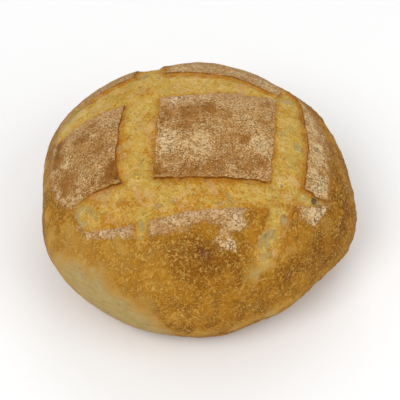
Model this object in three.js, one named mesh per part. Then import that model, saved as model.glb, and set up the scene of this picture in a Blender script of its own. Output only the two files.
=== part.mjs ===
// A round sourdough loaf (boule), scored with a noughts-and-crosses cut and baked on a flat stone.
//
// Frame: millimetres, +Z up. The origin is the middle of the flat base, -Y is the front of the loaf
// and +X is its right. Bread is one piece, so the loaf is one solid.
//
// The form is a plain dome with a plan that isn't quite round. Four blade cuts run over it, two
// from front to back and two from left to right. In the oven each cut opens into a channel of
// fresh crumb, and the floured skin beside it lifts into a crisp lip. The nine plates of skin
// that are left between the channels keep the height of the dome.

import * as THREE from "three";

// ---- Size of the loaf -------------------------------------------------------------------------

const PLAN_RADIUS = 113; // mean radius at the belly, which is the widest level
const BELLY_HEIGHT = 38; // from the base up to the belly
const DOME_RISE = 72; // from the belly up to the top
const DOME_FULLNESS = 2.2; // 2 is an ellipse, and more gives fuller shoulders
const BASE_SHARE = 0.83; // radius of the base, as a share of the belly's
const TUCK = 1.8; // how late the side turns in below the belly
const BASE_EDGE = 2; // round of the edge between the side and the base

// The dough spreads unevenly: [waves round the loaf, swing, bearing of a crest in degrees].
const PLAN_WAVES = [
  [2, 0.5, -34],
  [3, 1.7, -1],
  [4, 0.6, -26],
  [5, 0.8, -10],
  [6, 0.9, -24],
  [7, 0.3, -17],
  [8, 0.6, -14],
  [10, 0.6, -12],
  [12, 0.3, 6],
  [13, 0.4, 5],
];

// The skin isn't even either: plane waves of [length, height, direction, phase].
const SKIN_SWELLS = [
  [64, 0.4, [0.9, 0.4, 0.2], 0.6],
  [51, 0.3, [-0.4, 0.9, 0.3], 2.1],
  [43, 0.3, [0.6, -0.7, 0.5], 4.0],
  [35, 0.2, [0.2, 0.5, -0.9], 5.2],
];

// Where the skin was held back it has sunk a little: [centre, radius, depth] of each dent.
const DENTS = [
  [[-31, 93, 79], 16, 2.4],
  [[-98, -60, 33], 15, 1.4],
  [[-106, 19, 48], 12, 0.8],
];

const smoothstep = (low, high, value) => THREE.MathUtils.smoothstep(value, low, high);

// ---- The net of the dome ----------------------------------------------------------------------
//
// The dome is the upper half of a cube blown up round. A place on it is a direction [x, y, z] from
// the middle of the belly, scaled until the largest of the three is 1. A strip is the run of three
// cube faces that goes over the top. On a strip, `across` runs from -1 to 1 over its width, and
// `along` is 0 at the top, 1 at the far edge of the top face and 2 at the belly.

const FRONT_TO_BACK = [0, 1]; // across is x, along is y
const LEFT_TO_RIGHT = [1, 0]; // across is y, along is x

function directionOn(strip, across, along) {
  const direction = [0, 0, 1];
  direction[strip[0]] = across;
  direction[strip[1]] = THREE.MathUtils.clamp(along, -1, 1);
  direction[2] = THREE.MathUtils.clamp(2 - Math.abs(along), 0, 1);
  return direction;
}

function placeOn(strip, direction) {
  const across = direction[strip[0]];
  const along = direction[strip[1]];
  const up = direction[2];
  const largest = Math.max(up, Math.abs(along), 0.1);
  if (up >= Math.abs(along)) return [across / largest, along / largest];
  return [across / largest, Math.sign(along) * (2 - up / largest)];
}

// ---- The plain dome ---------------------------------------------------------------------------

function planRadius(bearing) {
  const swing = ([waves, height, crest]) =>
    height * Math.cos(waves * (bearing - THREE.MathUtils.degToRad(crest)));
  return PLAN_WAVES.reduce((radius, wave) => radius + swing(wave), PLAN_RADIUS);
}

function ringPoint(bearing, radius, z) {
  return new THREE.Vector3(radius * Math.cos(bearing), radius * Math.sin(bearing), z);
}

function domePoint([x, y, z]) {
  const side = Math.hypot(x, y);
  const reach = (side ** DOME_FULLNESS + z ** DOME_FULLNESS) ** (-1 / DOME_FULLNESS);
  const bearing = Math.atan2(y, x);
  return ringPoint(bearing, planRadius(bearing) * side * reach, BELLY_HEIGHT + DOME_RISE * z * reach);
}

// The outward normal of the dome, taken as if its plan were round.
function domeNormal([x, y, z]) {
  const side = Math.hypot(x, y);
  const bearing = Math.atan2(y, x);
  const outward = side ** (DOME_FULLNESS - 1) / PLAN_RADIUS;
  return ringPoint(bearing, outward, z ** (DOME_FULLNESS - 1) / DOME_RISE).normalize();
}

function skinSwell(point) {
  const swell = SKIN_SWELLS.reduce((height, [length, rise, direction, phase]) => {
    const distance = point.dot(new THREE.Vector3(...direction));
    return height + rise * Math.sin((2 * Math.PI * distance) / length + phase);
  }, 0);
  return DENTS.reduce((height, [centre, radius, depth]) => {
    const away = point.distanceTo(new THREE.Vector3(...centre));
    return height - depth * (1 - smoothstep(0, 1, away / radius));
  }, swell);
}

// ---- The cuts ---------------------------------------------------------------------------------
//
// A station of a cut is [along, low lip, high lip], both lips as `across` on the cut's strip. A cut
// has a step at each lip, which is how far the crumb lies below the skin there, an ear, which is
// how far the lip has lifted, and a fade, which is the length of each shallow end as `along`.

const CUTS = {
  left: {
    strip: FRONT_TO_BACK,
    step: [1.4, 1.4],
    ear: [0.9, 0.7],
    fade: [0.5, 0.3],
    stations: [
      [-1.22, -0.431, -0.38],
      [-1.08, -0.456, -0.361],
      [-0.95, -0.479, -0.354],
      [-0.8, -0.46, -0.32],
      [-0.65, -0.461, -0.284],
      [-0.5, -0.48, -0.259],
      [-0.4, -0.491, -0.248],
      [-0.28, -0.515, -0.241],
      [-0.15, -0.524, -0.235],
      [0, -0.52, -0.23],
      [0.15, -0.491, -0.21],
      [0.3, -0.472, -0.212],
      [0.45, -0.451, -0.21],
      [0.6, -0.45, -0.205],
      [0.75, -0.492, -0.22],
      [0.95, -0.53, -0.241],
      [1.15, -0.505, -0.273],
      [1.4, -0.402, -0.337],
    ],
  },
  right: {
    strip: FRONT_TO_BACK,
    step: [1.3, 1.5],
    ear: [0.5, 1.0],
    fade: [0.65, 0.3],
    stations: [
      [-1.56, 0.44, 0.53],
      [-1.34, 0.446, 0.65],
      [-1.19, 0.466, 0.781],
      [-1.05, 0.528, 0.858],
      [-0.9, 0.562, 0.871],
      [-0.75, 0.57, 0.867],
      [-0.6, 0.563, 0.869],
      [-0.48, 0.541, 0.865],
      [-0.35, 0.523, 0.831],
      [-0.2, 0.492, 0.823],
      [-0.05, 0.511, 0.879],
      [0.1, 0.553, 0.913],
      [0.25, 0.567, 0.936],
      [0.4, 0.604, 0.955],
      [0.55, 0.693, 0.982],
      [0.7, 0.785, 0.986],
      [0.85, 0.845, 0.984],
      [1.05, 0.91, 0.96],
    ],
  },
  front: {
    strip: LEFT_TO_RIGHT,
    step: [0.6, 1.7],
    ear: [0.3, 1.0],
    fade: [0.3, 0.2],
    stations: [
      [-1.22, -0.715, -0.7],
      [-1.14, -0.758, -0.643],
      [-1.06, -0.937, -0.62],
      [-0.96, -0.975, -0.595],
      [-0.82, -0.935, -0.526],
      [-0.68, -0.891, -0.467],
      [-0.52, -0.842, -0.416],
      [-0.4, -0.795, -0.397],
      [-0.25, -0.734, -0.382],
      [-0.1, -0.684, -0.383],
      [0.05, -0.651, -0.38],
      [0.2, -0.652, -0.389],
      [0.35, -0.655, -0.392],
      [0.5, -0.65, -0.408],
      [0.65, -0.65, -0.431],
      [0.82, -0.651, -0.441],
      [0.92, -0.658, -0.47],
      [1.02, -0.646, -0.508],
      [1.12, -0.585, -0.489],
      [1.26, -0.49, -0.442],
      [1.36, -0.44, -0.42],
    ],
  },
  back: {
    strip: LEFT_TO_RIGHT,
    step: [0.6, 1.4],
    ear: [0.2, 1.0],
    fade: [0.3, 0.3],
    stations: [
      [-1.5, 0.202, 0.322],
      [-1.33, 0.168, 0.469],
      [-1.16, 0.19, 0.577],
      [-1, 0.234, 0.637],
      [-0.85, 0.252, 0.663],
      [-0.7, 0.274, 0.671],
      [-0.55, 0.277, 0.683],
      [-0.4, 0.279, 0.694],
      [-0.25, 0.279, 0.689],
      [-0.1, 0.298, 0.676],
      [0.05, 0.325, 0.664],
      [0.2, 0.361, 0.643],
      [0.35, 0.37, 0.604],
      [0.5, 0.393, 0.559],
      [0.6, 0.401, 0.514],
      [0.7, 0.413, 0.478],
      [0.84, 0.425, 0.453],
    ],
  },
};

const WALL = 1.2; // width of the steep face below a lip
const HOLLOW = 7; // how far into the channel the step dies out, as the crumb blooms up
const SINK = 0.6; // how far the middle of a channel lies below the dome
const CURL = 8; // how far back from a lip its ear dies out
const BLEND = 4; // sharpness of the blend where two lips meet

// The two lips at one place along a cut, through its stations on smooth curves.
function lipsAt(stations, along) {
  const last = stations.length - 1;
  const held = THREE.MathUtils.clamp(along, stations[0][0], stations[last][0]);
  let k = 0;
  while (k < last - 1 && stations[k + 1][0] < held) k += 1;
  const [before, start, end, after] = [k - 1, k, k + 1, k + 2].map(
    (n) => stations[THREE.MathUtils.clamp(n, 0, last)],
  );
  const length = end[0] - start[0];
  const t = (held - start[0]) / length;
  return [1, 2].map((lip) => {
    const slopeIn = ((end[lip] - before[lip]) / (end[0] - before[0])) * length;
    const slopeOut = ((after[lip] - start[lip]) / (after[0] - start[0])) * length;
    return (
      start[lip] * (1 + 2 * t) * (1 - t) ** 2 +
      slopeIn * t * (1 - t) ** 2 +
      end[lip] * t * t * (3 - 2 * t) +
      slopeOut * t * t * (t - 1)
    );
  });
}

// How a place lies to a cut: its distances inside the low and the high lip, in millimetres and
// negative outside, how far it is inside the channel, and how open the cut is there.
function measureCut(cut, direction) {
  const [across, along] = placeOn(cut.strip, direction);
  const lips = lipsAt(cut.stations, along);
  const here = domePoint(directionOn(cut.strip, across, along));
  const inside = lips.map((lip, side) => {
    const there = domePoint(directionOn(cut.strip, lip, along));
    return Math.sign(side === 0 ? across - lip : lip - across) * here.distanceTo(there);
  });
  const start = cut.stations[0][0];
  const end = cut.stations[cut.stations.length - 1][0];
  const open =
    smoothstep(start, start + cut.fade[0], along) * smoothstep(-end, cut.fade[1] - end, -along);
  const within = along > start && along < end ? Math.max(0, Math.min(...inside)) : 0;
  return { cut, inside, within, open };
}

// Height of the baked surface above the plain dome.
function cutRelief(direction) {
  const measured = Object.values(CUTS).map((cut) => measureCut(cut, direction));
  const depthInside = Math.hypot(...measured.map((m) => m.within));
  let ears = 0;
  let steps = 0;
  let open = 0;
  for (const m of measured) {
    const others = Math.hypot(...measured.filter((o) => o !== m).map((o) => o.within));
    if (m.within > 0) open = Math.max(open, m.open);
    m.inside.forEach((distance, side) => {
      ears += (m.cut.ear[side] * m.open * Math.exp(-Math.abs(distance) / CURL)) ** BLEND;
      steps += (m.cut.step[side] * m.open * Math.exp(-Math.hypot(distance, others) / HOLLOW)) ** BLEND;
    });
  }
  const crust = ears ** (1 / BLEND);
  const crumb = -(steps ** (1 / BLEND)) - SINK * open * (1 - Math.exp(-depthInside / HOLLOW));
  return THREE.MathUtils.lerp(crust, crumb, smoothstep(0, WALL, depthInside));
}

function bakedPoint(direction) {
  const point = domePoint(direction);
  return point.addScaledVector(domeNormal(direction), cutRelief(direction) + skinSwell(point));
}

// ---- The grid of the skin ---------------------------------------------------------------------
//
// The top face of the net has rows and columns that follow the lips, so that each lip is an edge
// of the solid. Between two lips the cells are crowded towards both of them.

const COLUMN_CELLS = [10, 8, 17, 8, 4]; // left edge, left cut, middle, right cut, right edge
const ROW_CELLS = [5, 8, 16, 9, 8]; // front edge, front cut, middle, back cut, back edge
const CROWDING = 0.6;
const LEAST_GAP = 0.05; // width of a channel's rows at its ends
const GAP_SPREAD = 0.3; // how fast they spread out past its ends
const SHOULDER_ROWS = 9; // from the edge of the top face down to the belly
const TUCK_ROWS = 6; // from the belly down to the base

function gridStations(cells) {
  return cells.flatMap((count, span) =>
    Array.from({ length: count }, (_, n) => {
      const even = n / count;
      return { span, share: even - (CROWDING * Math.sin(2 * Math.PI * even)) / (2 * Math.PI) };
    }),
  ).concat({ span: cells.length - 1, share: 1 });
}

const COLUMNS = gridStations(COLUMN_CELLS);
const ROWS = gridStations(ROW_CELLS);

// Where a column (or a row) crosses its strip, at one place along it.
function crossing(station, cuts, along) {
  const lips = cuts.flatMap(({ stations }) => {
    const [low, high] = lipsAt(stations, along);
    const past = Math.max(0, stations[0][0] - along, along - stations[stations.length - 1][0]);
    const spare = Math.max(0, LEAST_GAP + GAP_SPREAD * past - (high - low)) / 2;
    return [low - spare, high + spare];
  });
  const knots = [-1, ...lips, 1];
  return THREE.MathUtils.lerp(knots[station.span], knots[station.span + 1], station.share);
}

const columnAt = (column, along) => crossing(column, [CUTS.left, CUTS.right], along);
const rowAt = (row, along) => crossing(row, [CUTS.front, CUTS.back], along);

// Column and row each bend with the other, and a few rounds find the place where they cross.
function topDirection(column, row) {
  let x = columnAt(column, 0);
  let y = rowAt(row, x);
  for (let round = 0; round < 12; round += 1) {
    x = columnAt(column, y);
    y = rowAt(row, x);
  }
  return [x, y, 1];
}

// The grid's outer edge, once round from the front left corner, as functions of height on the net.
function shoulderColumns() {
  const along = (up) => 2 - up;
  const front = COLUMNS.slice(0, -1).map((c) => (up) => [columnAt(c, -along(up)), -1, up]);
  const right = ROWS.slice(0, -1).map((r) => (up) => [1, rowAt(r, along(up)), up]);
  const back = COLUMNS.slice(1).reverse().map((c) => (up) => [columnAt(c, along(up)), 1, up]);
  const left = ROWS.slice(1).reverse().map((r) => (up) => [-1, rowAt(r, -along(up)), up]);
  return [...front, ...right, ...back, ...left];
}

// Below the belly the side tucks in to the base. The last ring lies flat on the base.
function tuckPoint([x, y], share) {
  const bearing = Math.atan2(y, x);
  const radius = planRadius(bearing) * (1 - (1 - BASE_SHARE) * share ** TUCK);
  const point = ringPoint(bearing, radius, BELLY_HEIGHT * (1 - share));
  const swell = skinSwell(point) * (1 - share);
  return point.addScaledVector(ringPoint(bearing, 1, 0), swell);
}

function loafGeometry() {
  const points = [];
  const triangles = [];
  const add = (point) => points.push(point) - 1;
  const quad = (a, b, c, d) => triangles.push(a, b, c, a, c, d);

  const top = ROWS.map((row) => COLUMNS.map((column) => add(bakedPoint(topDirection(column, row)))));
  for (let r = 0; r + 1 < ROWS.length; r += 1) {
    for (let c = 0; c + 1 < COLUMNS.length; c += 1) {
      quad(top[r][c], top[r][c + 1], top[r + 1][c + 1], top[r + 1][c]);
    }
  }

  const lastRow = ROWS.length - 1;
  const lastColumn = COLUMNS.length - 1;
  let ring = [
    ...top[0].slice(0, -1),
    ...top.slice(0, -1).map((row) => row[lastColumn]),
    ...top[lastRow].slice(1).reverse(),
    ...top.slice(1).map((row) => row[0]).reverse(),
  ];
  const join = (next) => {
    ring.forEach((above, n) => {
      const m = (n + 1) % ring.length;
      quad(above, next[n], next[m], ring[m]);
    });
    ring = next;
  };

  const shoulder = shoulderColumns();
  for (let k = 1; k <= SHOULDER_ROWS; k += 1) {
    const up = Math.tan((Math.PI / 4) * (1 - k / SHOULDER_ROWS));
    join(shoulder.map((column) => add(bakedPoint(column(up)))));
  }
  const belly = shoulder.map((column) => column(0));
  for (let k = 1; k <= TUCK_ROWS; k += 1) {
    const share = (k / TUCK_ROWS) * (1 - BASE_EDGE / BELLY_HEIGHT);
    join(belly.map((direction) => add(tuckPoint(direction, share))));
  }
  const inset = (PLAN_RADIUS * BASE_SHARE - BASE_EDGE) / (PLAN_RADIUS * BASE_SHARE);
  join(belly.map((direction) => add(tuckPoint(direction, 1).multiplyScalar(inset))));

  const middle = add(new THREE.Vector3(0, 0, 0));
  ring.forEach((corner, n) => triangles.push(middle, ring[(n + 1) % ring.length], corner));

  const geometry = new THREE.BufferGeometry().setFromPoints(points).setIndex(triangles);
  const centre = new THREE.Box3().setFromPoints(points).getCenter(new THREE.Vector3());
  geometry.translate(-centre.x, -centre.y, 0);
  geometry.computeVertexNormals();
  return geometry;
}

// ---- The part ---------------------------------------------------------------------------------

const crust = new THREE.MeshStandardMaterial({ color: 0xb9812f, roughness: 0.75, metalness: 0 });
const loaf = new THREE.Mesh(loafGeometry(), crust);
loaf.name = "loaf";

const sourdoughLoaf = new THREE.Group();
sourdoughLoaf.add(loaf);

export default sourdoughLoaf;
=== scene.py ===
# %% [markdown]
# # A round sourdough loaf
#
# A boule: dough proved in a floured basket, turned out, scored with four blade cuts like a
# noughts-and-crosses board, and baked on a hot flat stone. The loaf is one piece of bread, so it is
# one mesh here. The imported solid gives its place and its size, and this script gives it its skin:
# floured plates, open channels of crumb, blisters, a burnt spot and pale flanks.
#
# Lengths are in millimetres while the shape is worked out, and the mesh is in metres.

# %% The frame
import math

import bpy
import bmesh
import numpy as np
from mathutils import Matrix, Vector


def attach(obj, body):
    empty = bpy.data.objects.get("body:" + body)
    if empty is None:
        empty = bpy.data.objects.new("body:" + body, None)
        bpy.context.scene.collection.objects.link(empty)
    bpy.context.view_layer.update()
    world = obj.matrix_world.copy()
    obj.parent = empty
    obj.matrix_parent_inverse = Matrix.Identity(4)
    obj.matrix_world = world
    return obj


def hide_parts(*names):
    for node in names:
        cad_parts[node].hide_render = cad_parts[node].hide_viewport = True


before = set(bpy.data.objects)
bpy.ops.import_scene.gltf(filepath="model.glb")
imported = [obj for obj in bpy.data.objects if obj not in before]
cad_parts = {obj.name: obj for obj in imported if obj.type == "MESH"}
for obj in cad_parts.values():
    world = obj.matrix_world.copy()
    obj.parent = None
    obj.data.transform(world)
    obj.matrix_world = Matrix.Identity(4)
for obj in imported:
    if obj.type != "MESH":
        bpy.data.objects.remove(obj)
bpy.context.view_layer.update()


# %% [markdown]
# ## The view
#
# The camera looks down at the loaf from 50 degrees, from 810 mm away with a long lens, so the loaf
# shows both its scored top and its round front. A nearer camera would make the front swell.

# %% Camera
LOOK_AT = (0.0018, -0.0093, 0.0453)
DISTANCE = 0.81
LOOK_DOWN = math.radians(50)
FIELD = math.radians(20)
SENSOR = 36

bpy.ops.object.select_all(action="DESELECT")
bpy.ops.object.camera_add(
    location=(
        LOOK_AT[0],
        LOOK_AT[1] - DISTANCE * math.cos(LOOK_DOWN),
        LOOK_AT[2] + DISTANCE * math.sin(LOOK_DOWN),
    ),
    rotation=(math.pi / 2 - LOOK_DOWN, 0, 0),
)
camera = bpy.context.object
camera.data.sensor_width = SENSOR
camera.data.lens = SENSOR / 2 / math.tan(FIELD / 2)
bpy.context.scene.camera = camera
bpy.context.scene.view_settings.view_transform = "Standard"
print("camera", [round(1000 * x) for x in camera.location], "mm, lens", round(camera.data.lens, 1))


# %% [markdown]
# The floor is uncoated white paper: it shows no shine, only the loaf's soft shadow. Bread is matt
# too, so broad soft lights suit it: a large one above left and in front, and weaker ones that open
# up the shadows on the other sides.

# %% Floor
FLOOR_WIDTH = 6


def srgb(code):
    """A colour from its sRGB hex code, turned to linear."""
    parts = [int(code[n : n + 2], 16) / 255 for n in (1, 3, 5)]
    return tuple(c / 12.92 if c <= 0.04045 else ((c + 0.055) / 1.055) ** 2.4 for c in parts) + (1,)


bpy.ops.mesh.primitive_plane_add(size=FLOOR_WIDTH)
floor = bpy.context.object
floor.name = "floor"
paper = bpy.data.materials.new("matt_white_paper")
paper.use_nodes = True
sheet = paper.node_tree.nodes["Principled BSDF"]
sheet.inputs["Base Color"].default_value = srgb("#FAFAFA")
sheet.inputs["Roughness"].default_value = 0.9
floor.data.materials.append(paper)
print("floor", FLOOR_WIDTH, "m wide")

# %% Lights
SOFTBOXES = {  # place and width in metres, power in watts
    "key_light": ((-0.9, -1.0, 1.7), 1.2, 20),
    "fill_light": ((1.4, -0.7, 1.3), 1.4, 10),
    "back_light": ((0.3, 1.6, 1.5), 1.4, 9),
}
AIM = Vector((0, 0, 0.05))
SKY_STRENGTH = 0.52

for name, (place, width, watts) in SOFTBOXES.items():
    bpy.ops.object.light_add(type="AREA", location=place)
    light = bpy.context.object
    light.name = name
    light.data.size = width
    light.data.energy = watts
    light.rotation_euler = (light.location - AIM).to_track_quat("Z", "Y").to_euler()

world = bpy.data.worlds.new("studio")
world.use_nodes = True
sky = world.node_tree.nodes["Background"]
sky.inputs["Color"].default_value = (1, 1, 1, 1)
sky.inputs["Strength"].default_value = SKY_STRENGTH
bpy.context.scene.world = world
print("lights:", ", ".join(SOFTBOXES))


# %% [markdown]
# ## The dough's net
#
# A ball of dough could start as a sphere, but a sphere's poles and slices run across the cuts. A
# cube blown up round has a grid on each face, so the rows and columns of its top face can run
# along the four cuts. It is modelled as a net: a fine grid for the top, whose border is extruded
# down twice. The first band is the shoulder, down to the belly, and the second is the tuck, down
# to the base. Rings inside the base shrink to its middle, and both bands are then subdivided.

# %% The net, as a square box
TOP_CELLS = 176
SHOULDER_ROWS = 50
TUCK_ROWS = 34
BASE_RINGS = (0.9, 0.85, 0.8, 0.7, 0.55, 0.35)  # each as a share of the ring outside it
AT_EDGE = 0.9999  # the net's edges and levels lie at 1, or a rounding error away

bpy.ops.object.select_all(action="DESELECT")
bpy.ops.mesh.primitive_grid_add(
    x_subdivisions=TOP_CELLS, y_subdivisions=TOP_CELLS, size=2, location=(0, 0, 1)
)
loaf = bpy.context.object
loaf.name = "loaf_skin"
bpy.ops.object.transform_apply(location=True, rotation=True, scale=True)


def select_edges(chosen):
    """Selects in edit mode the edges for which chosen(end, end) holds, and nothing else."""
    mesh = bmesh.from_edit_mesh(bpy.context.object.data)
    for edge in mesh.edges:
        edge.select = chosen(*[vertex.co for vertex in edge.verts])
    mesh.select_flush_mode()
    bmesh.update_edit_mesh(bpy.context.object.data)


def on_border(a, b):
    """Whether both ends lie on the same side of the square."""
    return any(min(abs(a[k]), abs(b[k])) > AT_EDGE and a[k] * b[k] > 0 for k in (0, 1))


bpy.ops.object.mode_set(mode="EDIT")
bpy.ops.mesh.select_mode(type="EDGE")
select_edges(on_border)
for band in ("shoulder", "tuck"):
    bpy.ops.mesh.extrude_region_move(TRANSFORM_OT_translate={"value": (0, 0, -1)})
for share in BASE_RINGS:
    bpy.ops.mesh.extrude_region_move()
    bpy.ops.transform.resize(value=(share, share, 1), center_override=(0, 0, -1))
bpy.ops.mesh.merge(type="CENTER")
for level, rows in ((0.5, SHOULDER_ROWS), (-0.5, TUCK_ROWS)):
    select_edges(lambda a, b: abs((a.z + b.z) / 2 - level) < 0.01)
    bpy.ops.mesh.subdivide(number_cuts=rows - 1)
bpy.ops.object.mode_set(mode="OBJECT")
print("net:", len(loaf.data.vertices), "vertices,", len(loaf.data.polygons), "faces")


# %% [markdown]
# ## The risen form
#
# No transform gives a loaf's dome, because dough spreads unevenly and each cut opens by its own
# amount. So the net's vertices are placed by one worked-out form, the same as the solid's: a plan
# that isn't quite round, a full dome above the belly, and a tuck below it.
#
# A strip is the run of net faces that goes over the top, from front to back or from left to right.
# On a strip, `across` runs over its width, and `along` is 0 at the top and 2 at the belly.

# %% The plain dome
PLAN_RADIUS = 113
BELLY_HEIGHT = 38
DOME_RISE = 72
DOME_FULLNESS = 2.2  # 2 is an ellipse, and more is squarer
PLAN_WAVES = [  # waves round the plan, their rise, and the bearing of a crest
    (2, 0.5, -34), (3, 1.7, -1), (4, 0.6, -26), (5, 0.8, -10), (6, 0.9, -24), (7, 0.3, -17),
    (8, 0.6, -14), (10, 0.6, -12), (12, 0.3, 6), (13, 0.4, 5),
]


def smoothstep(low, high, value):
    """0 at low and beyond it, 1 at high and beyond it, and smooth between."""
    t = np.clip((value - low) / (high - low), 0, 1)
    return t * t * (3 - 2 * t)


def plan_radius(bearing):
    """How far the belly stands out from the middle, in a direction seen from above."""
    waves = [rise * np.cos(n * (bearing - math.radians(crest))) for n, rise, crest in PLAN_WAVES]
    return PLAN_RADIUS + sum(waves)


def ring_point(bearing, radius, z):
    """The place at a bearing, a radius and a height."""
    return np.stack([radius * np.cos(bearing), radius * np.sin(bearing), z], axis=-1)


def dome_point(way):
    """The place on the plain dome in the direction `way` from the middle of the belly."""
    side = np.hypot(way[..., 0], way[..., 1])
    up = np.maximum(way[..., 2], 0)
    reach = (side**DOME_FULLNESS + up**DOME_FULLNESS) ** (-1 / DOME_FULLNESS)
    bearing = np.arctan2(way[..., 1], way[..., 0])
    height = BELLY_HEIGHT + DOME_RISE * up * reach
    return ring_point(bearing, plan_radius(bearing) * side * reach, height)


def dome_normal(way):
    """The direction that faces outwards there."""
    side = np.hypot(way[..., 0], way[..., 1])
    up = np.maximum(way[..., 2], 0)
    bearing = np.arctan2(way[..., 1], way[..., 0])
    outward = side ** (DOME_FULLNESS - 1) / PLAN_RADIUS
    normal = ring_point(bearing, outward, up ** (DOME_FULLNESS - 1) / DOME_RISE)
    return normal / np.linalg.norm(normal, axis=-1, keepdims=True)


print("dome rises from", BELLY_HEIGHT, "to", BELLY_HEIGHT + DOME_RISE, "mm")

# %% Swells and dents
SKIN_SWELLS = [  # length and rise of a wave, its direction, and where it starts
    (64, 0.4, (0.9, 0.4, 0.2), 0.6),
    (51, 0.3, (-0.4, 0.9, 0.3), 2.1),
    (43, 0.3, (0.6, -0.7, 0.5), 4.0),
    (35, 0.2, (0.2, 0.5, -0.9), 5.2),
]
DENTS = [  # place, radius and depth
    (-31, 93, 79, 16, 2.4), (-98, -60, 33, 15, 1.4), (-106, 19, 48, 12, 0.8),
]


def skin_swell(point):
    """How far the uneven skin stands out from the plain form."""
    swell = 0
    for length, rise, direction, phase in SKIN_SWELLS:
        swell = swell + rise * np.sin(2 * np.pi * (point @ np.array(direction)) / length + phase)
    for x, y, z, radius, depth in DENTS:
        away = np.linalg.norm(point - (x, y, z), axis=-1)
        swell = swell - depth * (1 - smoothstep(0, 1, away / radius))
    return swell


print("skin:", len(SKIN_SWELLS), "swells and", len(DENTS), "dents")


# %% [markdown]
# ## The cuts
#
# A baker's blade makes four slits, and the oven opens each one into a channel. A channel is given
# by stations along it: how far along, then its low lip and its high lip. `step` is how far the
# crumb lies below the skin at each lip, `ear` is how far that lip has lifted and curled, `rim` is
# how dark its edge is, partly from baking and partly as painted shade under the lip, and `fade` is
# the length of the cut's two shallow ends. The torn skin isn't smooth, so each lip gets an uneven
# wander.

# %% Stations of the four cuts
FRONT_TO_BACK = (0, 1)  # which axes run across and along the strip
LEFT_TO_RIGHT = (1, 0)
CUTS = {
    "left": {
        "strip": FRONT_TO_BACK, "fade": (0.5, 0.3),
        "step": (1.4, 1.4), "ear": (0.9, 0.7), "rim": (0.7, 0.5),
        "stations": [
            (-1.22, -0.431, -0.38), (-1.08, -0.456, -0.361), (-0.95, -0.479, -0.354),
            (-0.8, -0.46, -0.32), (-0.65, -0.461, -0.284), (-0.5, -0.48, -0.259),
            (-0.4, -0.491, -0.248), (-0.28, -0.515, -0.241), (-0.15, -0.524, -0.235),
            (0, -0.52, -0.23), (0.15, -0.491, -0.21), (0.3, -0.472, -0.212), (0.45, -0.451, -0.21),
            (0.6, -0.45, -0.205), (0.75, -0.492, -0.22), (0.95, -0.53, -0.241),
            (1.15, -0.505, -0.273), (1.4, -0.402, -0.337),
        ],
    },
    "right": {
        "strip": FRONT_TO_BACK, "fade": (0.65, 0.3),
        "step": (1.3, 1.5), "ear": (0.5, 1.0), "rim": (0.4, 0.6),
        "stations": [
            (-1.56, 0.44, 0.53), (-1.34, 0.446, 0.65), (-1.19, 0.466, 0.781), (-1.05, 0.528, 0.858),
            (-0.9, 0.562, 0.871), (-0.75, 0.57, 0.867), (-0.6, 0.563, 0.869), (-0.48, 0.541, 0.865),
            (-0.35, 0.523, 0.831), (-0.2, 0.492, 0.823), (-0.05, 0.511, 0.879), (0.1, 0.553, 0.913),
            (0.25, 0.567, 0.936), (0.4, 0.604, 0.955), (0.55, 0.693, 0.982), (0.7, 0.785, 0.986),
            (0.85, 0.845, 0.984), (1.05, 0.91, 0.96),
        ],
    },
    "front": {
        "strip": LEFT_TO_RIGHT, "fade": (0.3, 0.2),
        "step": (0.6, 1.7), "ear": (0.3, 1.0), "rim": (0.0, 0.9),
        "stations": [
            (-1.22, -0.715, -0.7), (-1.14, -0.758, -0.643), (-1.06, -0.937, -0.62),
            (-0.96, -0.975, -0.595), (-0.82, -0.935, -0.526), (-0.68, -0.891, -0.467),
            (-0.52, -0.842, -0.416), (-0.4, -0.795, -0.397), (-0.25, -0.734, -0.382),
            (-0.1, -0.684, -0.383), (0.05, -0.651, -0.38), (0.2, -0.652, -0.389),
            (0.35, -0.655, -0.392), (0.5, -0.65, -0.408), (0.65, -0.65, -0.431),
            (0.82, -0.651, -0.441), (0.92, -0.658, -0.47), (1.02, -0.646, -0.508),
            (1.12, -0.585, -0.489), (1.26, -0.49, -0.442), (1.36, -0.44, -0.42),
        ],
    },
    "back": {
        "strip": LEFT_TO_RIGHT, "fade": (0.3, 0.3),
        "step": (0.6, 1.4), "ear": (0.2, 1.0), "rim": (0.1, 0.55),
        "stations": [
            (-1.5, 0.202, 0.322), (-1.33, 0.168, 0.469), (-1.16, 0.19, 0.577), (-1, 0.234, 0.637),
            (-0.85, 0.252, 0.663), (-0.7, 0.274, 0.671), (-0.55, 0.277, 0.683),
            (-0.4, 0.279, 0.694), (-0.25, 0.279, 0.689), (-0.1, 0.298, 0.676), (0.05, 0.325, 0.664),
            (0.2, 0.361, 0.643), (0.35, 0.37, 0.604), (0.5, 0.393, 0.559), (0.6, 0.401, 0.514),
            (0.7, 0.413, 0.478), (0.84, 0.425, 0.453),
        ],
    },
}
print("stations:", {name: len(cut["stations"]) for name, cut in CUTS.items()})

# %% The lips as smooth curves
LIP_WANDER = [(0.19, 0.0026), (0.11, 0.0022), (0.067, 0.0014), (0.041, 0.0007)]  # wave and swing


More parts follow.
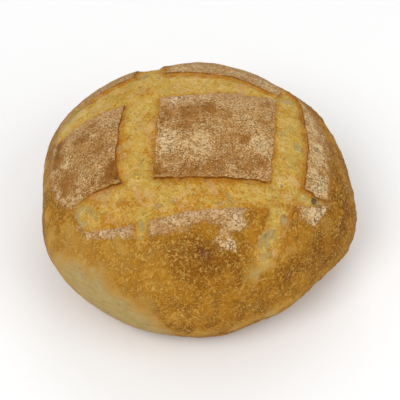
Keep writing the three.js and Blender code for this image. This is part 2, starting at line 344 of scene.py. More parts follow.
def lips_at(name, along):
    """The two lips of a cut at places along it, on smooth curves through its stations."""
    table = np.array(CUTS[name]["stations"])
    last = len(table) - 1
    held = np.clip(along, table[0, 0], table[-1, 0])
    k = np.clip(np.searchsorted(table[:, 0], held, side="right") - 1, 0, last - 1)
    before, start, end, after = (table[np.clip(k + n, 0, last)] for n in (-1, 0, 1, 2))
    length = end[..., 0] - start[..., 0]
    t = (held - start[..., 0]) / length
    chance = np.random.default_rng(sum(map(ord, name)))
    lips = []
    for lip in (1, 2):
        slope_in = (end[..., lip] - before[..., lip]) / (end[..., 0] - before[..., 0]) * length
        slope_out = (after[..., lip] - start[..., lip]) / (after[..., 0] - start[..., 0]) * length
        curve = start[..., lip] * (1 + 2 * t) * (1 - t) ** 2 + slope_in * t * (1 - t) ** 2
        curve += end[..., lip] * t * t * (3 - 2 * t) + slope_out * t * t * (t - 1)
        for wave, swing in LIP_WANDER:
            curve += swing * np.sin(2 * np.pi * (along / wave + chance.random()))
        lips.append(curve)
    return lips


for name in CUTS:
    low, high = lips_at(name, np.zeros(1))
    print("%-5s cut at the top: %.2f to %.2f" % (name, low[0], high[0]))


# %% [markdown]
# The grid's rows and columns are now slid so that a line of edges follows every lip, which makes
# each lip a true crisp edge. The cells are a little finer beside the lips than between them. Past
# a cut's end its two lines keep a small gap, which widens.

# %% Rows and columns that follow the lips
COLUMN_CELLS = (38, 30, 62, 30, 16)
ROW_CELLS = (20, 30, 60, 34, 32)
CROWDING = 0.35
LEAST_GAP = 0.05
GAP_SPREAD = 0.3


def crossing(position, cells, names, along):
    """Where the grid line at `position` (0 to 1 over the net) crosses a strip, at `along`."""
    ends = np.concatenate([[0], np.cumsum(cells)]) / sum(cells)
    span = np.clip(np.searchsorted(ends, position + 1e-6, side="right") - 1, 0, len(cells) - 1)
    even = (position - ends[span]) / (ends[span + 1] - ends[span])
    share = even - CROWDING * np.sin(2 * np.pi * even) / (2 * np.pi)
    knots = [np.full_like(along, -1.0)]
    for name in names:
        low, high = lips_at(name, along)
        first, final = CUTS[name]["stations"][0][0], CUTS[name]["stations"][-1][0]
        past = np.maximum(0, np.maximum(first - along, along - final))
        spare = np.maximum(0, LEAST_GAP + GAP_SPREAD * past - (high - low)) / 2
        knots += [low - spare, high + spare]
    knots = np.stack(knots + [np.full_like(along, 1.0)])
    everyone = np.arange(len(along))
    return knots[span, everyone] * (1 - share) + knots[span + 1, everyone] * share


def column_at(position, along):
    """Where a column of the grid crosses the strip that runs from front to back."""
    return crossing(position, COLUMN_CELLS, ("left", "right"), along)


def row_at(position, along):
    """Where a row of the grid crosses the strip that runs from left to right."""
    return crossing(position, ROW_CELLS, ("front", "back"), along)


print(sum(COLUMN_CELLS), "columns and", sum(ROW_CELLS), "rows follow the lips")

# %% The direction of each net vertex
SETTLING_ROUNDS = 12  # a row bends a column and a column bends a row, until both settle


def net_ways(net):
    """The direction of each net vertex from the middle of the belly."""
    column, row = (net[:, 0] + 1) / 2, (net[:, 1] + 1) / 2
    on_top = net[:, 2] >= AT_EDGE
    up = np.where(on_top, 1, np.tan(np.pi / 4 * np.clip(net[:, 2], 0, 1)))
    x = column_at(column, np.zeros(len(net)))
    y = row_at(row, x)
    for turn in range(SETTLING_ROUNDS):
        x = column_at(column, y)
        y = row_at(row, x)
    on_front_or_back = ~on_top & (np.abs(net[:, 1]) > AT_EDGE)
    on_left_or_right = ~on_top & ~on_front_or_back
    corner = on_front_or_back & (np.abs(net[:, 0]) > AT_EDGE)
    side_x, side_y = np.sign(net[:, 0]), np.sign(net[:, 1])
    x = np.where(on_front_or_back, column_at(column, side_y * (2 - up)), x)
    x = np.where(on_left_or_right | corner, side_x, x)
    y = np.where(on_left_or_right, row_at(row, side_x * (2 - up)), y)
    y = np.where(on_front_or_back, side_y, y)
    return np.stack([x, y, up], axis=-1)


net = np.empty(3 * len(loaf.data.vertices))
loaf.data.vertices.foreach_get("co", net)
net = net.reshape(-1, 3)
base_share = np.abs(net[:, :2]).max(axis=1)  # 1 on the sides and less inside the base
in_base = (net[:, 2] < -AT_EDGE) & (base_share < AT_EDGE)
net[in_base, :2] /= np.maximum(base_share[in_base], 1e-6)[:, None]
ways = net_ways(net)
print("directions:", ways.min(axis=0).round(2), "to", ways.max(axis=0).round(2))


# %% [markdown]
# ## Channels, lips and ears
#
# Each vertex is measured against each cut: how far it lies inside the low and the high lip. Skin
# beside a lip is raised into an ear. Crumb inside starts a step below the lip and blooms up
# towards the middle of the channel. An ear also leans out over the channel, which draws the thin
# dark line under a crisp lip.

# %% How each vertex lies to each cut
MM_ALONG = 85  # the dough's length to one step along a strip, past a cut's end
LEAST_UP, LEAST_LENGTH = 0.1, 0.05  # they keep off a division by zero


def direction_on(strip, across, along):
    """The direction of a place on a strip from the middle of the belly."""
    way = np.empty(np.shape(across) + (3,))
    way[..., strip[0]] = across
    way[..., strip[1]] = np.clip(along, -1, 1)
    way[..., 2] = np.clip(2 - np.abs(along), 0, 1)
    return way


def measure_cut(name, way):
    """How far each vertex lies inside or outside a cut, and how open the cut is beside it."""
    cut = CUTS[name]
    across, along, up = way[:, cut["strip"][0]], way[:, cut["strip"][1]], way[:, 2]
    largest = np.maximum(np.maximum(up, np.abs(along)), LEAST_UP)
    over_side = up < np.abs(along)
    across = across / largest
    along = np.where(over_side, np.sign(along) * (2 - up / largest), along / largest)
    here = dome_point(direction_on(cut["strip"], across, along))
    inside, towards = [], []
    for side, lip in enumerate(lips_at(name, along)):
        there = dome_point(direction_on(cut["strip"], lip, along))
        gap = there - here
        length = np.linalg.norm(gap, axis=1)
        sign = np.sign(across - lip if side == 0 else lip - across)
        inside.append(sign * length)
        towards.append(gap / np.maximum(length, LEAST_LENGTH)[:, None])
    start, end = cut["stations"][0][0], cut["stations"][-1][0]
    starting = smoothstep(start, start + cut["fade"][0], along)
    ending = smoothstep(-end, cut["fade"][1] - end, -along)
    within = np.where((along > start) & (along < end), np.maximum(0, np.minimum(*inside)), 0)
    past = MM_ALONG * np.maximum(0, np.maximum(start - along, along - end))
    return {
        "cut": cut,
        "inside": inside,
        "towards": towards,
        "within": within,
        "open": starting * ending,
        "outside": np.hypot(np.maximum(0, np.maximum(-inside[0], -inside[1])), past),
    }


measured = [measure_cut(name, ways) for name in CUTS]
depth_inside = np.sqrt(sum(m["within"] ** 2 for m in measured))
nearest = np.minimum.reduce([m["outside"] for m in measured])
lip_distance = np.where(depth_inside > 0, -depth_inside, nearest)
print("deepest inside a cut: %.1f mm from a lip" % depth_inside.max())

# %% Relief of the cuts
WALL = 0.9  # width of the torn wall under a lip
HOLLOW = 7  # how far from a lip the crumb has bloomed back up
SINK = 0.6
CURL = 8  # how far from a lip its ear dies out
BLEND = 4  # two ears or steps that meet act as the larger one
LEAN = 0.55  # how far an ear leans out, as a share of its height
LEAN_REACH = 1.6
RIM_REACH = 4

ears, steps, opened, lean, rim_heat_and_shade = 0, 0, 0, 0, 0
for m in measured:
    others = np.sqrt(sum(o["within"] ** 2 for o in measured if o is not m))
    opened = np.where(m["within"] > 0, np.maximum(opened, m["open"]), opened)
    for side in (0, 1):
        ear, drop, rim = (m["cut"][part][side] for part in ("ear", "step", "rim"))
        gap = m["inside"][side]
        off_corner = np.hypot(gap, others)
        ears += (ear * m["open"] * np.exp(-np.abs(gap) / CURL)) ** BLEND
        steps += (drop * m["open"] * np.exp(-off_corner / HOLLOW)) ** BLEND
        beside = (gap <= 0) & (depth_inside <= 0)
        pull = LEAN * ear * m["open"] * np.exp(gap / LEAN_REACH) * beside
        lean = lean + m["towards"][side] * pull[:, None]
        # The rim's darkness is partly baking and partly painted shade under the lip.
        rim_heat_and_shade = np.maximum(rim_heat_and_shade, rim * (m["open"] * np.exp(-off_corner / RIM_REACH)))
crust_height = ears ** (1 / BLEND)
crumb_height = -(steps ** (1 / BLEND)) - SINK * opened * (1 - np.exp(-depth_inside / HOLLOW))
share = smoothstep(0, WALL, depth_inside)
relief = crust_height * (1 - share) + crumb_height * share
print("relief from %.1f to %.1f mm" % (relief.min(), relief.max()))


# %% [markdown]
# Now the vertices take their places. Those of the top and the shoulder go on the dome, with its
# swells and the relief of the cuts. Those of the tuck turn in under the belly, and those inside
# the base lie flat at height 0, a little inside its rounded edge.

# %% The vertices take their places
BASE_SHARE = 0.83  # the base's radius, as a share of the belly's
TUCK = 1.8  # how late the side turns in
BASE_EDGE = 2

points = dome_point(ways)
points += dome_normal(ways) * (relief + skin_swell(points))[:, None] + lean

below = np.clip(-net[:, 2], 0, 1) * (1 - BASE_EDGE / BELLY_HEIGHT)
bearing = np.arctan2(ways[:, 1], ways[:, 0])
tucked_radius = plan_radius(bearing) * (1 - (1 - BASE_SHARE) * below**TUCK)
tucked = ring_point(bearing, tucked_radius, BELLY_HEIGHT * (1 - below))
tucked += ring_point(bearing, 1, 0 * bearing) * (skin_swell(tucked) * (1 - below))[:, None]
points = np.where((net[:, 2] < 0)[:, None], tucked, points)

inset = plan_radius(bearing) * BASE_SHARE - BASE_EDGE
flat = ring_point(bearing, inset * base_share, 0 * bearing)
points = np.where(in_base[:, None], flat, points)
middle = (points.min(axis=0) + points.max(axis=0)) / 2 * (1, 1, 0)
points -= middle


def place_vertices():
    """Gives the mesh its vertices' present places, in metres."""
    loaf.data.vertices.foreach_set("co", (points / 1000).ravel())
    loaf.data.update()
    bpy.context.view_layer.update()


place_vertices()
print("loaf:", [round(1000 * side) for side in loaf.dimensions], "mm, moved by", middle.round(3))


# %% [markdown]
# ## Where the loaf is floury, pale, brown or burnt
#
# Most colours of a crust follow what happened to each place, not a regular pattern: where the
# basket's flour stuck, where steam kept the dough pale, where a blister caught the heat, and where
# a big bubble left only a thin grey window in the crumb. These are painted as a baker would point
# them out, with soft dabs: place, radius and strength in percent. A negative one takes some away.
# Some dabs are painted light: dark dabs of negative strength and pale dabs low at the front and on
# the right flank lighten the crust where shade falls on the bottom edge and the right side.

# %% Soft dabs
FLOUR_DABS = [
    (-22, -72, 95, 5, -25), (13, -66, 99, 5, -20), (78, -54, 81, 3.6, -20), (82, 76, 42, 5.8, 35),
    (-76, -63, 78, 4.3, 30), (23, -79, 92, 4.3, -20), (58, 35, 98, 5, 30), (-18, -10, 109, 7.9, 50),
    (-17, -20, 109, 5, 30), (-5, 31, 108, 4.3, 30), (-19, 28, 109, 3.6, 35), (81, 32, 87, 4.3, 40),
    (82, 23, 88, 3.6, 20), (86, 1, 89, 4.3, 35), (-13, 26, 109, 3.6, 60), (-105, -7, 59, 3.6, 20),
    (84, -46, 82, 2.9, 60), (-7, -13, 109, 8.6, 20), (6, -12, 110, 9.4, 28), (31, 25, 107, 7.2, 15),
    (42, -7, 106, 8.6, 35), (-13, 30, 108, 3.6, 40), (9, 33, 107, 7.2, 15), (47, -16, 105, 5.8, 25),
    (4, -26, 109, 7.2, 15), (39, 8, 107, 6.5, 20), (-88, -10, 84, 4.3, 30), (-99, -9, 73, 4.3, 40),
    (-94, -31, 75, 4.3, 45), (-89, -37, 79, 3.6, 40), (-76, -42, 89, 4.3, 40),
    (-83, -44, 82, 4.3, 30), (-90, -9, 83, 3.6, 35), (-73, -34, 93, 4.3, 20),
    (-62, 15, 99, 5.8, 15), (-72, 6, 96, 5.8, 10), (-62, -30, 98, 6.5, 25), (-76, -28, 91, 3.6, 20),
    (84, -1, 91, 6.5, 50), (84, -14, 91, 5.8, 45), (81, -27, 92, 5, 40), (87, -30, 87, 5, 50),
    (82, 15, 89, 5, 50), (81, 31, 87, 5, 60), (79, 75, 53, 5, 35), (84, 21, 87, 4.3, 20),
    (76, 44, 88, 4.3, 30), (83, -37, 88, 5, 50), (89, -37, 84, 3.6, 60), (-21, -71, 95, 5, 10),
    (-13, -69, 96, 4.3, 15), (-6, -68, 98, 4.3, 25), (1, -67, 99, 4.3, 25), (12, -66, 99, 4.3, 30),
    (18, -66, 98, 4.3, 35), (26, -65, 97, 4.3, 35), (29, -69, 95, 5.8, 50), (26, -74, 93, 4.3, 20),
    (16, -79, 93, 4.3, 30), (21, -80, 91, 5, 50), (24, -83, 89, 5, 65), (26, -85, 87, 3.6, 55),
    (18, -85, 89, 5, 60), (14, -83, 91, 3.6, 30), (10, -86, 89, 4.3, 20), (4, -81, 92, 4.3, 12),
    (-71, -68, 78, 2.9, 50), (-64, -70, 81, 2.9, 50), (-58, -71, 85, 3.6, 60),
    (-52, -72, 87, 3.6, 70), (-45, -73, 90, 4.3, 60), (-27, -73, 94, 3.6, 35),
    (75, -52, 84, 3.6, 50), (79, -51, 83, 4.3, 65), (83, -50, 81, 5, 70), (86, -47, 80, 3.6, 80),
    (80, -55, 78, 3.6, 90), (42, -61, 95, 2.9, 30), (-11, 70, 98, 7.2, 40), (4, 76, 95, 8.6, 25),
    (30, 72, 93, 7.2, 30), (49, 63, 91, 7.2, 50), (59, 54, 91, 5.8, 35), (-53, 65, 91, 3.6, 30),
]
BARE_DABS = [
    (-13, -39, 108, 5.8, 12), (19, -16, 108, 5.8, 15), (2, 25, 109, 5.8, 15),
    (-76, -40, 89, 5.8, 12), (-8, 33, 108, 5, -25), (48, 46, 98, 5, -20), (4, -37, 108, 5.8, 15),
    (-10, -7, 110, 5.8, 15), (13, 13, 109, 5.8, 15), (-68, -18, 97, 6.5, -20),
    (-10, 26, 109, 5.8, -20), (-15, -39, 108, 5.8, 15), (-74, -42, 91, 5.8, 20),
    (-66, -34, 97, 5.8, 20), (-93, -15, 79, 5.8, 15), (41, -27, 104, 5.8, 20),
    (28, -7, 108, 5.8, 15), (-95, 6, 79, 5.8, 15), (-78, 5, 92, 5.8, 40), (-51, -35, 101, 4.3, 35),
    (-52, -23, 102, 3.6, 40), (-86, -27, 84, 7.9, 35), (-98, -3, 75, 4.3, 30),
    (-22, -39, 107, 4.3, 15), (-74, -16, 94, 15.8, 10), (-18, 12, 111, 5, 50),
    (-7, 11, 110, 4.3, 25), (-22, 6, 110, 2.9, 40), (-103, 10, 67, 5, 40), (-102, -7, 66, 4.3, 30),
    (-101, 17, 70, 4.3, 40), (-74, 14, 95, 2.2, 50), (-24, -37, 107, 4.3, 30), (-93, 13, 82, 5, 30),
    (24, -25, 107, 5.8, 20), (-2, 15, 110, 7.9, 42), (10, 21, 109, 7.2, 42), (-7, 2, 110, 5.8, 35),
    (-24, -34, 107, 5, 60), (-56, -31, 101, 6.5, 45), (-59, -37, 98, 5, 30), (-69, 14, 97, 5.8, 30),
    (-56, 9, 102, 4.3, 30), (-94, 11, 81, 4.3, 30), (-81, -37, 86, 3.6, 20), (23, 15, 108, 4.3, 25),
    (36, -7, 107, 5, 60), (-15, -25, 109, 5, 20), (14, -33, 108, 8.6, 32), (34, -30, 105, 7.2, 20),
    (-3, -35, 108, 7.2, 30), (46, -28, 103, 5, 25), (47, 10, 105, 4.3, 25), (53, 31, 102, 4.3, 40),
    (19, -9, 109, 4.3, 20), (-86, -24, 84, 5.8, 30), (-87, -31, 82, 5.8, 30), (-96, 1, 78, 6.5, 45),
    (-87, -17, 84, 4.3, 20), (-71, -15, 96, 6.5, 10), (-63, -9, 100, 5, 30),
    (-55, -25, 102, 4.3, 35), (-55, -34, 100, 3.6, 20), (-67, 0, 98, 5, 20),
    (42, -69, 91, 7.9, 120), (42, -74, 86, 5.8, 80), (8, -73, 96, 6.5, 60), (0, -76, 94, 5.8, 20),
    (-12, -76, 93, 5, 20), (65, -57, 87, 4.3, 120), (63, -64, 86, 4.3, 100), (69, -60, 83, 2.9, 60),
]
BURNT_DABS = [
    (8, -89, 86, 4.3, 20), (4, -90, 85, 4.3, 20), (7, -87, 88, 6.5, 32), (9, -91, 86, 5.8, 30),
    (12, -84, 90, 5, 18), (2, -84, 90, 5.8, 20), (6, -91, 86, 5.8, 15), (-2, -90, 85, 5, 15),
    (14, -90, 86, 4.3, 15),
]
# Negative dark dabs lighten. Those low at the front near the base, and those on the right flank,
# are painted light that lifts the shade there.
DARK_AND_PAINTED_LIGHT_DABS = [
    (104, -34, 69, 5.8, 25), (10, -86, 89, 4.3, -10), (-78, 5, 92, 5, 10), (-51, -36, 101, 4.3, 25),
    (-52, -23, 102, 3.6, 20), (101, -44, 65, 5, 25), (103, -37, 69, 4.3, 10),
    (-85, -57, 74, 5.8, -30), (-103, -12, 64, 5, -40), (52, -97, 31, 5.8, -40),
    (-18, -81, 90, 5.8, -10), (77, -63, 75, 5.8, -15), (-85, -57, 74, 5.8, -15),
    (4, -113, 33, 5.8, -15), (31, -107, 33, 5.8, -10), (-86, -27, 84, 6.5, -30),
    (-109, 15, 50, 4.3, -30), (-109, 2, 47, 4.3, -30), (-108, -8, 40, 4.3, -30),
    (-103, -42, 54, 5, -25), (-90, -60, 65, 4.3, -20), (42, -99, 60, 5, 20),
    (61, -88, 20, 5.8, -20), (4, -107, 18, 5, -25), (110, -39, 54, 3.6, -20), (92, -56, 64, 5, -15),
    (-49, -84, 79, 15.8, -26), (-55, -79, 80, 10.1, -12), (-27, -96, 77, 10.8, -28),
    (-22, -102, 71, 7.2, -20), (-65, -75, 77, 8.6, -12), (-98, -51, 59, 7.9, -55),
    (-101, -37, 61, 6.5, -35), (94, 24, 77, 6.5, -22), (104, -4, 71, 5, -20),
    (99, 12, 74, 4.3, -20), (6, -112, 29, 7.9, -50), (-5, -111, 27, 5.8, -30),
    (55, -95, 31, 6.5, -50), (69, -88, 34, 5.8, -45), (43, -100, 30, 5.8, -40),
    (31, -106, 30, 6.5, -35), (83, -73, 33, 5, -25), (-9, -112, 47, 5.8, -15),
    (50, -88, 69, 5.8, -20), (58, -82, 73, 5, -20), (34, -89, 79, 5, -15), (-8, -75, 94, 5, -25),
    (108, -31, 65, 3.6, 15), (-24, -35, 107, 4.3, 30), (4, -113, 49, 7.9, -25),
    (-14, -111, 46, 5.8, -20), (-2, -99, 77, 9.4, 14), (12, -97, 78, 8.6, 14),
    (7, -105, 69, 8.6, 12), (30, -96, 73, 10.1, 8), (24, -92, 81, 5.8, 10), (64, -84, 63, 6.5, 12),
    (71, -78, 62, 7.2, 12), (83, -67, 59, 6.5, 12), (95, -56, 59, 6.5, 18), (104, -25, 72, 4.3, 40),
    (102, -35, 71, 5, 50), (103, -41, 65, 5, 50), (101, -47, 61, 5, 50), (99, -53, 55, 5, 40),
    (96, -59, 49, 5, 30), (90, -66, 46, 5, 20), (99, -20, 78, 4.3, 35), (96, -34, 78, 5.8, 20),
    (63, -72, 79, 3.6, 10), (46, -67, 89, 3.6, 10), (96, 34, 72, 4.3, 12), (97, 9, 77, 4.3, 20),
    (97, -10, 80, 4.3, 20), (96, 17, 77, 3.6, 10), (104, 7, 69, 2.9, 15), (-5, -112, 32, 5, 35),
    (-10, -112, 33, 3.6, 30), (19, -109, 25, 5, 25), (81, -76, 38, 3.6, 30), (69, -88, 34, 4.3, 25),
    (101, -54, 32, 3.6, 20), (-98, -58, 46, 2.9, 60), (-50, -97, 21, 2.9, 40),
    (-37, -98, 14, 2.2, 40), (-54, -27, 102, 4.3, 22), (-51, -35, 101, 3.6, 30),
    (-49, -39, 101, 2.9, 20), (-97, 9, 76, 5.8, 30), (108, -35, 63, 4.3, 25),
    (42, -70, 91, 4.3, -30), (93, 41, 73, 5, -25), (99, 29, 69, 5, -25), (-5, -90, 85, 8.6, 4),
]
# Besides the pale belly, the pale dabs low at the front and on the right are painted light on the
# shaded bottom edge.
PALE_AND_PAINTED_LIGHT_DABS = [
    (-13, 27, 109, 4.3, 70), (52, -96, 29, 5.8, 50), (-42, -90, 78, 13, 12),
    (-28, -103, 66, 11.5, 12), (51, -86, 71, 4.3, 40), (57, -81, 74, 3.6, 50),
    (63, -76, 74, 3.6, 40), (70, -72, 72, 3.6, 30), (81, 31, 87, 4.3, 60), (84, 20, 87, 5, 60),
    (84, 5, 90, 5, 60), (83, -9, 91, 5, 60), (81, -21, 92, 5, 50), (-80, 22, 90, 5, 50),
    (-67, 23, 97, 4.3, 40), (-90, 19, 83, 3.6, 40), (-13, 31, 108, 3.6, 40), (-2, 32, 108, 3.6, 40),
    (11, 36, 107, 4.3, 30), (-100, -55, 39, 10.1, 30), (-93, -67, 45, 14.4, 42),
    (-83, -77, 47, 17.3, 50), (-74, -85, 45, 17.3, 50), (-64, -93, 44, 17.3, 50),
    (-54, -100, 42, 17.3, 50), (-43, -106, 39, 15.8, 50), (-32, -109, 35, 13, 45),
    (-19, -110, 27, 10.1, 35), (-6, -103, 11, 7.2, 20), (-79, -74, 63, 15.8, 15),
    (-67, -85, 61, 17.3, 15), (-55, -95, 59, 17.3, 15), (-41, -104, 54, 17.3, 15),
    (-28, -109, 49, 11.5, 10), (-82, -63, 73, 8.6, 25), (-72, -69, 76, 8.6, 20),
    (-48, -79, 84, 7.9, 22), (-60, -88, 66, 7.2, 20), (-24, -89, 83, 7.9, 20),
    (-33, -106, 55, 7.9, 12), (-100, -51, 52, 8.6, 30), (38, -92, 73, 7.9, 30),
    (42, -101, 52, 6.5, 12), (51, -98, 35, 6.5, 35), (63, -92, 35, 5.8, 35), (72, -84, 33, 5, 25),
    (39, -104, 33, 6.5, 30), (28, -107, 28, 6.5, 25), (12, -111, 28, 6.5, 20),
    (89, -53, 71, 6.5, 22), (84, -69, 51, 5.8, 15), (-102, -36, 60, 4.3, 50), (-106, -7, 55, 5, 80),
    (-107, 13, 57, 4.3, 60), (-107, -16, 49, 4.3, 40), (-94, -55, 61, 6.5, 20),
    (113, -33, 35, 3.6, 30), (110, -2, 58, 2.9, 30), (45, -89, 72, 5, 50), (41, -93, 69, 5, 40),
    (37, -99, 63, 5, 25), (49, -86, 73, 3.6, 40), (-80, -69, 69, 2.2, 40), (-76, -74, 67, 2.2, 45),
    (-72, -78, 65, 2.2, 45), (-68, -83, 62, 2.2, 35), (93, -61, 28, 5.8, 20), (46, 98, 26, 20, 45),
    (-64, 84, 30, 17, 40), (98, 44, 30, 15, 35), (-8, 108, 40, 14, 30), (-62, -86, 24, 20, 80),
    (-86, -60, 24, 16, 60), (-32, -102, 24, 16, 60), (-104, -20, 30, 12, 50),
    (104, -24, 30, 12, 40),
]
GREY_DABS = [
    (-77, -51, 83, 4.3, 70), (-76, -56, 81, 4.3, 70), (-73, -62, 80, 4.3, 60),
    (-68, -55, 87, 2.2, 50), (-64, -60, 87, 2.2, 60), (-68, -61, 84, 2.2, 50),
    (-70, -62, 82, 2.9, 30), (-34, -70, 92, 2.9, 80), (-35, -74, 91, 2.9, 80),
    (-34, -79, 88, 2.9, 70), (48, -72, 86, 4.3, 90), (45, -76, 84, 4.3, 90), (44, -80, 81, 2.9, 50),
    (47, -83, 77, 5, 50), (53, -81, 76, 4.3, 35), (43, -85, 77, 2.9, 50), (59, -61, 87, 3.6, 75),
    (51, -59, 91, 4.3, 35), (56, -55, 91, 3.6, 30), (51, -68, 87, 2.9, 20), (79, -41, 83, 4.5, 250),
    (86, -44, 81, 3.6, 30), (81, -45, 83, 3.6, 30), (73, -45, 88, 4.3, 30), (74, -40, 89, 2.9, 25),
    (-73, -50, 85, 4.3, 40), (-73, -46, 87, 3.6, 25), (-64, -58, 88, 3.6, 40),
    (-83, 30, 86, 3.6, 40), (-90, 27, 81, 2.9, 40), (-68, -56, 87, 4.3, 40), (54, -68, 85, 4.3, 35),
    (54, -73, 82, 4.3, 35), (-89, 41, 77, 5, 50), (-78, 48, 84, 4.3, 40), (-97, 22, 75, 2.9, 40),
    (64, 42, 93, 5, 30), (71, -4, 96, 3.6, 40), (84, -42, 82, 4.3, 45), (88, -42, 80, 2.9, 50),
    (72, -6, 96, 5, 55), (74, 6, 94, 4.3, 40), (66, -24, 98, 3.6, 50), (60, 4, 100, 3.6, 60),
    (61, -13, 101, 2.9, 30), (59, -32, 98, 3.6, 35), (-34, 64, 97, 4.3, 50), (-38, 63, 95, 4.3, 55),
    (-26, 60, 98, 3.6, 40), (-92, 37, 76, 6.5, 60), (-84, 46, 80, 5.8, 50), (-96, 29, 75, 5, 55),
    (-75, 48, 86, 5, 35), (24, -55, 100, 4.3, 38), (16, -59, 100, 3.6, 38),
    (-15, -58, 100, 2.9, 45), (-23, -60, 99, 2.9, 55), (-12, -53, 102, 2.9, 35),
    (37, -49, 99, 4.3, 30), (38, -41, 100, 3.6, 35), (-35, -26, 104, 3.6, 35),
    (61, 42, 94, 5.8, 35), (69, 41, 91, 5, 40), (64, 24, 97, 4.3, 30), (-49, -11, 102, 2.9, 60),
    (-47, -54, 97, 2.9, 35), (-4, -47, 104, 3.6, 35), (-39, -33, 102, 3.6, 30),
    (-51, -60, 93, 2.9, 35), (4, -59, 101, 3.6, 30), (31, -56, 98, 2.9, 35),
]
ORANGE_DABS = [
    (-55, 12, 102, 5.8, 15), (-49, -19, 102, 5.8, 15), (-70, -57, 85, 5, 20),
    (-29, 26, 107, 5.8, 20), (-44, 17, 104, 5.8, 15), (-44, 6, 105, 5.8, 15),
    (52, -78, 79, 5.8, 40), (54, -73, 82, 4.3, 20), (-28, -36, 104, 5, 30),
    (-46, -16, 104, 6.5, 20), (-55, 12, 102, 5.8, 20), (43, -48, 98, 5.8, 20),
    (15, -52, 102, 5.8, 20), (-34, -60, 98, 5, 20), (-60, -49, 93, 5.8, 40),
    (-35, -56, 99, 5.8, 20), (-43, 19, 104, 5.8, 20), (-10, 33, 108, 5.8, -25),
    (-76, -63, 78, 5.8, -25), (-49, -64, 92, 5.8, 15), (51, -66, 88, 4.3, -20),
    (-68, -52, 88, 7.2, 15), (-15, 44, 104, 5.8, -30), (-7, 38, 106, 5, -20),
    (41, -71, 90, 4.3, 40), (55, 41, 98, 5.8, -40), (69, 39, 92, 5.8, -25), (74, -44, 87, 4.3, -60),
    (85, -43, 81, 3.6, -60), (-22, -56, 100, 8.6, 10), (4, -53, 103, 18.7, 8),
    (30, -52, 100, 10.1, 10), (-43, -23, 103, 8.6, 8), (-85, 44, 79, 7.2, -30),
    (-73, -52, 85, 6.5, -40), (-83, 37, 84, 5.8, -30), (15, 49, 103, 10.1, -12),
    (-4, 49, 103, 8.6, -12), (-49, -57, 95, 13, 14), (4, -51, 103, 20.2, 12),
    (26, -48, 101, 10.1, 10), (-36, -17, 106, 13, 8), (-63, -52, 91, 4.3, 30),
    (-66, -45, 91, 4.3, 20), (-55, -55, 94, 5.8, 20), (-48, -5, 103, 5, 50),
    (-48, 12, 103, 4.3, 50), (-49, -22, 101, 4.3, 50), (-50, -32, 101, 3.6, 50),
    (-29, -20, 105, 3.6, 50), (-29, -4, 107, 3.6, 40), (-34, 40, 104, 5.8, 40),
    (-29, 17, 107, 3.6, 40), (-58, -62, 89, 5, 60), (-55, -65, 89, 4.3, 60),
    (-64, -52, 91, 3.6, 40), (-44, -58, 96, 5.8, 35), (-36, -49, 101, 4.3, 35),
    (61, -30, 98, 3.6, 40), (71, -31, 94, 5, 60), (72, -21, 96, 4.3, 60), (75, -6, 94, 2.9, 40),
    (55, -52, 93, 4.3, 40), (59, -42, 94, 4.3, 30), (2, -56, 102, 5.8, 35), (33, -59, 97, 4.3, 40),
    (52, -43, 96, 4.3, 40), (16, -42, 104, 8.6, 20), (66, -51, 88, 5, 90), (66, -59, 86, 4.3, 100),
    (65, -67, 83, 4.3, 100), (63, -73, 78, 4.3, 90), (36, -79, 87, 5, 40), (34, -85, 83, 4.3, 30),
    (43, -60, 95, 5.8, 40), (42, -68, 92, 5, 30), (69, -44, 90, 4.3, 50), (16, 59, 100, 8.6, 12),
    (-3, 61, 99, 7.2, 12), (31, 54, 99, 5, 15), (-16, 62, 98, 4.3, 30), (43, 52, 98, 4.3, 12),
    (-24, 48, 102, 4.3, 15), (-45, 63, 96, 4.3, 40), (-60, 56, 90, 5.8, 30), (-71, 51, 87, 5, 30),
    (-18, -44, 104, 8.6, 25),
]
DABS = dict(flour=FLOUR_DABS, bare=BARE_DABS, burnt=BURNT_DABS, dark=DARK_AND_PAINTED_LIGHT_DABS)
DABS.update(pale=PALE_AND_PAINTED_LIGHT_DABS, grey=GREY_DABS, orange=ORANGE_DABS)
print("dabs:", {name: len(dabs) for name, dabs in DABS.items()})

# %% [markdown]
# A round dab would look like a stamp. So each vertex looks up the dabs from a place that wanders a
# little off its own, which makes their outlines uneven.

# %% Uneven outlines for the dabs
WANDERS = ((17, 0.8), (10, 0.6), (6, 0.4))  # length and swing, four waves of each
DAB_FADE = (0.2, 1.45)  # where a dab starts to fade and where it ends, in radii

chance = np.random.default_rng(11)
wander = np.zeros_like(points)
for length, swing in WANDERS:
    for turn in range(4):
        way = chance.normal(size=3)
        wave = np.sin(2 * np.pi * (points @ way / np.linalg.norm(way) / length + chance.random()))
        wander += swing * wave[:, None] * chance.normal(size=3)


def painted(name):
    """How much of one kind of dab each vertex has."""
    spot = points + middle + wander
    cover = np.zeros(len(points))
    for x, y, z, radius, strength in DABS[name]:
        away = np.linalg.norm(spot - (x, y, z), axis=1)
        cover += strength / 100 * (1 - smoothstep(*DAB_FADE, away / radius))
    return cover


print("the outlines wander by up to %.1f mm" % np.abs(wander).max())

# %% [markdown]
# The basket floured the top of the dough as far as it touched it. That edge is given from above,
# as a radius at each bearing. In the two cuts that run from left to right, the skin near the far
# lip is pinker, which is kept as blush.

